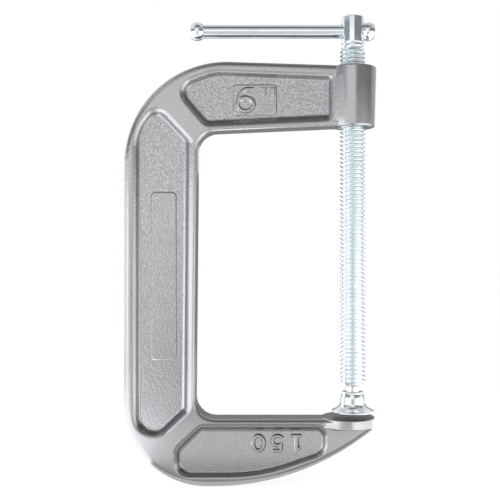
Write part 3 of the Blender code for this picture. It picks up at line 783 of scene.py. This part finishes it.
# %% Blotch: plating that varies slowly, with finger marks and rag wipes
blotch, given, made = new_group("Blotch", [("Size mm", 9.0)], ["Cloud", "Wipes"])
place = blotch.nodes.new("ShaderNodeTexCoord").outputs["Object"]
per_metre = math_node(blotch, "DIVIDE", 1000.0, given.outputs["Size mm"])
cloud = noise_node(blotch, place, per_metre, 3.0, 0.55)
blotch.links.new(math_node(blotch, "MULTIPLY_ADD", cloud, 2.4, -0.7, clamp=True),
                 made.inputs["Cloud"])
turnwise = blotch.nodes.new("ShaderNodeMapping")
turnwise.inputs["Rotation"].default_value = (0.6, 0.3, 0.9)
turnwise.inputs["Scale"].default_value = (1.0, 7.0, 2.0)
blotch.links.new(place, turnwise.inputs["Vector"])
wipes = noise_node(blotch, turnwise.outputs[0], per_metre, 2.0, 0.7)
blotch.links.new(math_node(blotch, "MULTIPLY_ADD", wipes, 2.0, -0.5, clamp=True),
                 made.inputs["Wipes"])
print("group", blotch.name)

# %% [markdown]
# ## Enamel on the casting
#
# The frame is sprayed with a silver-grey enamel, metal flake in a little grey pigment, so
# the shader is nearly all metallic, with a thin clear gloss on top.  The paint lies smooth
# on the flanges and beads into a pebble on the pocket floors, where the sand was rougher.
# The pocket's depth tells the two apart: its floor lies nearer the parting line than the
# flange faces do.
#
# Sides that face up or towards the screw get painted shade: their base colour is darker,
# most of all on the cast marks.  The marks' lower left sides get a painted highlight, a
# lighter base colour.  The object's own normal gives the direction, and a rectangle round
# each mark says where it is.

# %% Helpers for a material
def new_material(name, colour, metallic, roughness):
    material = bpy.data.materials.new(name)
    material.use_nodes = True
    shader = material.node_tree.nodes["Principled BSDF"]
    shader.inputs["Base Color"].default_value = (*colour, 1.0)
    shader.inputs["Metallic"].default_value = metallic
    shader.inputs["Roughness"].default_value = roughness
    return material.node_tree, shader, material


def placed_group(tree, group, **values):
    node = tree.nodes.new("ShaderNodeGroup")
    node.node_tree = group
    for label, value in values.items():
        node.inputs[label.replace("_", " ")].default_value = value
    return node.outputs


def located(tree, socket):
    """X, Y and Z of a Texture Coordinate output: the object's own place or direction."""
    split = tree.nodes.new("ShaderNodeSeparateXYZ")
    place = tree.nodes.new("ShaderNodeTexCoord")
    tree.links.new(place.outputs[socket], split.inputs[0])
    return split.outputs


def window(tree, value, start, full):
    """A mask that rises from 0 at `start` to 1 at `full`."""
    node = tree.nodes.new("ShaderNodeMapRange")
    node.inputs["From Min"].default_value = start
    node.inputs["From Max"].default_value = full
    tree.links.new(value, node.inputs["Value"])
    return node.outputs["Result"]


def between(tree, factor, low, high):
    """A number that follows a mask from low to high."""
    node = tree.nodes.new("ShaderNodeMapRange")
    node.inputs["To Min"].default_value = low
    node.inputs["To Max"].default_value = high
    tree.links.new(factor, node.inputs["Value"])
    return node.outputs["Result"]


def tint(tree, factor, low, high):
    """A colour that follows a mask between two colours."""
    node = tree.nodes.new("ShaderNodeMix")
    node.data_type = "RGBA"
    node.inputs["A"].default_value = (*low, 1.0)
    node.inputs["B"].default_value = (*high, 1.0)
    tree.links.new(factor, node.inputs["Factor"])
    return node.outputs["Result"]


def bumped(tree, shader, height, distance, strength=1.0):
    node = tree.nodes.new("ShaderNodeBump")
    node.inputs["Distance"].default_value = distance
    node.inputs["Strength"].default_value = strength
    tree.links.new(height, node.inputs["Height"])
    tree.links.new(node.outputs["Normal"], shader.inputs["Normal"])


# %% Where the enamel is pebbled: pocket floors, high up, and away from the boss
PEBBLE_MM = 0.85
tree, shader, enamel = new_material("silver_grey_enamel", (0.385, 0.383, 0.39), 0.92, 0.21)
at = located(tree, "Object")
facing = located(tree, "Normal")
deep = window(tree, math_node(tree, "ABSOLUTE", at["Y"]), (FLOOR_Y + 2.9) * MM,
              (FLOOR_Y + 1.1) * MM)
level = window(tree, math_node(tree, "ABSOLUTE", facing["Y"]), 0.75, 0.97)
pocket_floor = math_node(tree, "MULTIPLY", deep, level)
high = window(tree, at["Z"], 10 * MM, 170 * MM)
off_boss = window(tree, at["X"], 3 * MM, -9 * MM)
rough_skin = math_node(tree, "MULTIPLY", between(tree, pocket_floor, 0.30, 1.0),
                       between(tree, high, 0.25, 1.0))
rough_skin = math_node(tree, "MULTIPLY", rough_skin, between(tree, off_boss, 0.3, 1.0))
skin = placed_group(tree, pebble, Size_mm=PEBBLE_MM, Coarse_Share=0.2)
bumped(tree, shader, math_node(tree, "MULTIPLY", skin["Height"], rough_skin), 0.5 * MM)
fleck = math_node(tree, "MULTIPLY", math_node(tree, "SUBTRACT", skin["Speck"], 0.1), rough_skin)
print("pebbles are about", PEBBLE_MM, "mm apart")

# %% Where the cast marks are
MARGIN = 0.85
FIGURES = (32.3, figure + 1.1)
cast_marks = 0.0
for x, z, (wide, tall) in ((size_x, size_z, SIZE_PANEL), (bare_x, bare_z, BARE_PANEL),
                           (five_x, metric_z, FIGURES)):
    off_x = math_node(tree, "ABSOLUTE", math_node(tree, "SUBTRACT", at["X"], x * MM))
    off_z = math_node(tree, "ABSOLUTE", math_node(tree, "SUBTRACT", at["Z"], z * MM))
    in_x = math_node(tree, "LESS_THAN", off_x, (wide / 2 + MARGIN) * MM)
    in_z = math_node(tree, "LESS_THAN", off_z, (tall / 2 + MARGIN) * MM)
    cast_marks = math_node(tree, "MULTIPLY_ADD", in_x, in_z, cast_marks)
    print("a mark at", round(x, 1), round(z, 1), "mm")
front = math_node(tree, "LESS_THAN", at["Y"], -4.0 * MM)
marked = math_node(tree, "MULTIPLY", front, cast_marks)

# %% Silver-grey enamel, with painted shade on upward sides and painted highlights on marks
lean = math_node(tree, "MULTIPLY_ADD", facing["X"], 0.5, facing["Z"])
# Painted shade: a darker base colour on sides that face up or towards the screw.
upward_painted_shade = math_node(tree, "MULTIPLY", window(tree, lean, 0.15, 0.7),
                   between(tree, marked, -1.2, -2.0))
# Painted highlight: a lighter base colour on the marks' sides that face down or away from the
# screw.
marks_painted_highlight = math_node(tree, "MULTIPLY", window(tree, lean, -0.12, -0.5), marked)
speck_and_painted_light = math_node(tree, "ADD", math_node(tree, "ADD", fleck, 0.5), upward_painted_shade)
speck_and_painted_light = math_node(tree, "MULTIPLY_ADD", marks_painted_highlight, 2.2, speck_and_painted_light)
mottle_and_painted_light = tint(tree, speck_and_painted_light, (0.31, 0.308, 0.313), (0.46, 0.457, 0.465))
# The speck and the painted light may be less than 0 or more than 1, so that the tint goes
# past both of its colours.
mottle_and_painted_light.node.clamp_factor = False
tree.links.new(mottle_and_painted_light, shader.inputs["Base Color"])
wear = placed_group(tree, blotch, Size_mm=14.0)
tree.links.new(between(tree, wear["Cloud"], 0.18, 0.24), shader.inputs["Roughness"])
shader.inputs["Coat Weight"].default_value = 0.25
shader.inputs["Coat Roughness"].default_value = 0.12
casting.data.materials.clear()
casting.data.materials.append(enamel)
print("material", enamel.name)

# %% [markdown]
# ## Bright zinc on the steel
#
# The spindle, pad, bar and knobs are plated with bright zinc, a fully metallic finish with a
# faint blue-green cast.  Plating follows what lies beneath it: lines drawn along the bar,
# rings turned round the head and the pad.  Each material places the same groups with its own
# directions and depths.  The thread is rolled and so a little duller than the turned head,
# and the pad's underside is painted near-black, a painted shade for the gap above the anvil.

# %% Zinc over drawn or turned steel
def bright_zinc(name, colour, roughness, lines, depth, dull_below=None, painted_shade_sole=False):
    """`lines` are the numbers of marks per millimetre across X, Y and Z.  `dull_below` is the
    height under which the plating is duller, as it is on a rolled thread.  The sole option
    paints the underside near-black: painted shade for the gap under the pad."""
    tree, shader, material = new_material(name, colour, 1.0, roughness)
    tool = placed_group(tree, marks, Across_X=lines[0], Across_Y=lines[1], Across_Z=lines[2])
    plate = placed_group(tree, blotch, Size_mm=6.0)
    shade = tuple(0.93 * c for c in colour)
    coat = tint(tree, plate["Cloud"], shade, colour)
    if painted_shade_sole:
        # Painted shade: faces that look down are tinted near-black, standing in for the shade under
        # the pad.
        sole = window(tree, located(tree, "Normal")["Z"], -0.6, -0.9)
        painted_shade_underside = tint(tree, sole, shade, (0.05, 0.05, 0.052))
        tree.links.new(coat, painted_shade_underside.node.inputs["A"])
        coat = painted_shade_underside
    tree.links.new(coat, shader.inputs["Base Color"])
    rough = math_node(tree, "ADD", between(tree, tool["Lines"], roughness - 0.03, roughness + 0.05),
                      between(tree, plate["Wipes"], -0.02, 0.03))
    if dull_below:
        height = located(tree, "Object")["Z"]
        dull = window(tree, height, (dull_below + 1) * MM, dull_below * MM)
        rough = math_node(tree, "MULTIPLY_ADD", dull, 0.09, rough)
    tree.links.new(rough, shader.inputs["Roughness"])
    bumped(tree, shader, tool["Lines"], depth)
    print("material", name)
    return material


finishes = {
    spindle: bright_zinc("spindle_bright_zinc", (0.83, 0.89, 0.91), 0.16, (0.3, 0.3, 5.0), 6e-6,
                         HEAD_LOW - 1.0),
    ball_end: bright_zinc("ball_end_bright_zinc", (0.78, 0.81, 0.82), 0.20, (0.3, 0.3, 5.0), 6e-6),
    pad: bright_zinc("pad_bright_zinc", (0.78, 0.82, 0.82), 0.20, (0.2, 0.2, 4.0), 8e-6,
                     painted_shade_sole=True),
    bar: bright_zinc("bar_bright_zinc", (0.76, 0.81, 0.84), 0.15, (0.15, 4.0, 4.0), 6e-6),
    knobs[0]: bright_zinc("knob_bright_zinc", (0.80, 0.83, 0.85), 0.17, (5.0, 0.4, 0.4), 6e-6),
}
finishes[knobs[1]] = finishes[knobs[0]]
for obj, material in finishes.items():
    obj.data.materials.clear()
    obj.data.materials.append(material)

# %% [markdown]
# ## A white studio
#
# The clamp stands on a pale floor in a white room.  Both turn white where the camera looks
# straight at them, and metal reflects the same white, while the floor still takes a soft
# shadow.  Bright metal shows little but its surroundings, so the room also has cards that
# only reflections see: dark ones shape the round parts and light ones draw the highlights.

# %% Floor
FLOOR_Z = HEEL_Z - 0.2
white = (1.0, 1.0, 1.0, 1.0)


def seen_directly(tree):
    """One for camera, mirror and glass rays, and nothing for the light that surfaces share."""
    rays = tree.nodes.new("ShaderNodeLightPath").outputs
    seen = math_node(tree, "MAXIMUM", rays["Is Camera Ray"], rays["Is Glossy Ray"])
    return math_node(tree, "MAXIMUM", seen, rays["Is Transmission Ray"])


bm = bmesh.new()
bmesh.ops.create_grid(bm, x_segments=8, y_segments=8, size=6.0)
floor = mesh_object("studio_floor", bm)
floor.location = (0, 0, FLOOR_Z * MM)
tree, shader, floor_paint = new_material("studio_floor_white", (0.86, 0.86, 0.86), 0.0, 0.7)
glow = tree.nodes.new("ShaderNodeEmission")
glow.inputs["Color"].default_value = white
glow.inputs["Strength"].default_value = 1.1
blend = tree.nodes.new("ShaderNodeMixShader")
tree.links.new(math_node(tree, "MULTIPLY", seen_directly(tree), 0.8), blend.inputs["Fac"])
tree.links.new(shader.outputs[0], blend.inputs[1])
tree.links.new(glow.outputs[0], blend.inputs[2])
tree.links.new(blend.outputs[0], tree.nodes["Material Output"].inputs["Surface"])
floor.data.materials.append(floor_paint)
print("floor at", round(FLOOR_Z, 1), "mm")

# %% Room
world = bpy.data.worlds.new("white_room")
world.use_nodes = True
tree = world.node_tree
room = tree.nodes["Background"]
room.inputs["Color"].default_value = (0.93, 0.96, 1.0, 1.0)
room.inputs["Strength"].default_value = 0.62
bare = tree.nodes.new("ShaderNodeBackground")
bare.inputs["Color"].default_value = white
blend = tree.nodes.new("ShaderNodeMixShader")
tree.links.new(seen_directly(tree), blend.inputs["Fac"])
tree.links.new(room.outputs[0], blend.inputs[1])
tree.links.new(bare.outputs[0], blend.inputs[2])
tree.links.new(blend.outputs[0], tree.nodes["World Output"].inputs["Surface"])
bpy.context.scene.world = world
print("world", world.name)

# %% Cards that only reflections see
centre = Vector((-58.1, 0.0, 94.05)) * MM


def reflected_only(obj, colour):
    """Make a piece a glowing card that is seen only in reflections."""
    paint = bpy.data.materials.new(obj.name)
    paint.use_nodes = True
    tree = paint.node_tree
    tree.nodes.remove(tree.nodes["Principled BSDF"])
    glow = tree.nodes.new("ShaderNodeEmission")
    glow.inputs["Color"].default_value = (*colour, 1.0)
    tree.links.new(glow.outputs[0], tree.nodes["Material Output"].inputs["Surface"])
    obj.data.materials.append(paint)
    obj.visible_camera = obj.visible_diffuse = obj.visible_shadow = False
    obj.visible_transmission = False


def card(name, turn, rise, colour, distance=0.62):
    """A curved card round the clamp.  Turn is in degrees from the front towards +X and rise
    is in degrees above the horizon."""
    bm = bmesh.new()
    columns, levels = 12, 8
    rows = []
    for j in range(levels + 1):
        up = math.radians(rise[0] + (rise[1] - rise[0]) * j / levels)
        row = []
        for k in range(columns + 1):
            t = math.radians(turn[0] + (turn[1] - turn[0]) * k / columns)
            way = Vector((math.sin(t) * math.cos(up), -math.cos(t) * math.cos(up), math.sin(up)))
            row.append(bm.verts.new(centre + way * distance))
        rows.append(row)
    for low, high in zip(rows, rows[1:]):
        for k in range(columns):
            bm.faces.new((low[k], low[k + 1], high[k + 1], high[k]))
    reflected_only(mesh_object(name, bm), colour)


def grey(level, cast=0.0):
    """A grey with a little blue in it where `cast` is above zero."""
    return level * (1 - cast), level, level * (1 + 0.8 * cast)


# Softboxes stand low at both sides, and the camera's end of the room is dimmer.
card("softbox_left", (-76, -34), (-13, 9), grey(2.3, 0.03))
card("softbox_left_side", (-104, -76), (-13, 9), grey(1.45, 0.03))
card("softbox_left_back", (-130, -104), (-13, 9), grey(2.3, 0.03))
card("softbox_left_top", (-98, -18), (9, 12), grey(1.3, 0.03))
card("softbox_left_end", (-130, -98), (9, 27), grey(2.0, 0.02))
card("softbox_right", (40, 98), (-13, 9), grey(1.8))
card("softbox_right_top", (16, 98), (9, 12), grey(0.7))
card("wall_right", (98, 130), (-13, 40), grey(0.8, 0.02))
card("gap_left", (-34, -14), (-13, 3), grey(1.4))
card("gap_right", (14, 40), (-13, 9), grey(1.2))
card("camera_end", (-14, 14), (-13, 3), grey(0.45, 0.02))
card("window_front", (-34, 14), (3, 9), grey(1.32))

# Flags stand above the softboxes and give round parts their dark bands.
card("flag_left", (-98, -30), (12, 34), grey(0.30, 0.14))
card("window_front_top", (-30, 16), (9, 26), grey(1.22))
card("window_front_high", (-30, 20), (26, 36), grey(1.0))
card("flag_right", (16, 98), (12, 38), grey(0.24, 0.02))
card("flag_over_left", (-98, -30), (34, 38), grey(0.6, 0.04))

# The ceiling is light over the sides, and dark straight over the clamp.
card("ceiling_left", (-130, -60), (38, 68), grey(1.0, 0.03))
card("ceiling_front", (-60, 35), (36, 52), grey(0.75, 0.03))
card("ceiling_front_right", (35, 60), (38, 52), grey(0.35))
card("ceiling_right", (60, 130), (40, 68), grey(0.65))
card("ceiling_dark", (-60, 60), (52, 88), grey(0.2))
card("ceiling_back", (90, 270), (68, 89), grey(0.8))
card("wall_back_low", (130, 215), (-13, 9), grey(0.3, 0.02))
card("wall_back", (130, 230), (9, 38), grey(1.0, 0.02))
card("wall_back_high", (130, 230), (38, 68), grey(0.7, 0.02))


def floor_card(name, low, high, colour):
    z = (FLOOR_Z + 0.1) * MM
    bm = bmesh.new()
    ring = ((low[0], low[1]), (high[0], low[1]), (high[0], high[1]), (low[0], high[1]))
    bm.faces.new([bm.verts.new((x * MM, y * MM, z)) for x, y in ring])
    reflected_only(mesh_object(name, bm), colour)


floor_card("floor_left", (-500, -330), (-165, 160), grey(2.4, 0.03))
floor_card("floor_left_near", (-165, -190), (-124, 160), grey(2.4, 0.03))
floor_card("floor_right", (45, -330), (400, 160), grey(2.3))
floor_card("floor_back", (-124, 20), (-30, 200), grey(2.4))
floor_card("floor_far", (-200, 200), (100, 800), grey(0.35))
floor_card("floor_foot", (-124, -60), (45, -16), grey(0.5))
floor_card("floor_middle", (-124, -190), (45, -60), grey(1.2))
floor_card("floor_front", (-165, -480), (45, -190), grey(0.68, 0.02))
print("cards are up")

# %% Lamps
def softbox(name, turn, rise, distance, size, power):
    light = bpy.data.lights.new(name, "AREA")
    light.shape, light.size, light.energy = "SQUARE", size, power
    obj = bpy.data.objects.new(name, light)
    t, up = math.radians(turn), math.radians(rise)
    way = Vector((math.sin(t) * math.cos(up), -math.cos(t) * math.cos(up), math.sin(up)))
    obj.location = centre + way * distance
    obj.rotation_euler = (-way).to_track_quat("-Z", "Y").to_euler()
    obj.visible_glossy = False
    bpy.context.scene.collection.objects.link(obj)


softbox("key_front_right", 30, 35, 0.9, 0.45, 6.0)
softbox("fill_left", -70, 20, 0.9, 0.45, 4.0)
print("two lamps are up")

# %% [markdown]
# ## The camera
#
# A long lens keeps the C square.  The camera stands level with the middle of the clamp, so
# one looks slightly down on the lower arm and slightly up into the boss.

# %% Camera
lens = bpy.data.cameras.new("camera")
lens.sensor_width, lens.lens = 36.0, 61.92
lens.clip_start, lens.clip_end = 0.01, 50.0
camera = bpy.data.objects.new("camera", lens)
camera.location = centre + Vector((0, -0.487, 0))
camera.rotation_euler = (math.radians(90), 0, 0)
bpy.context.scene.collection.objects.link(camera)
bpy.context.scene.camera = camera
bpy.context.scene.view_settings.view_transform = "Standard"
print("the camera stands", round(-camera.location.y, 3), "m in front of the clamp")
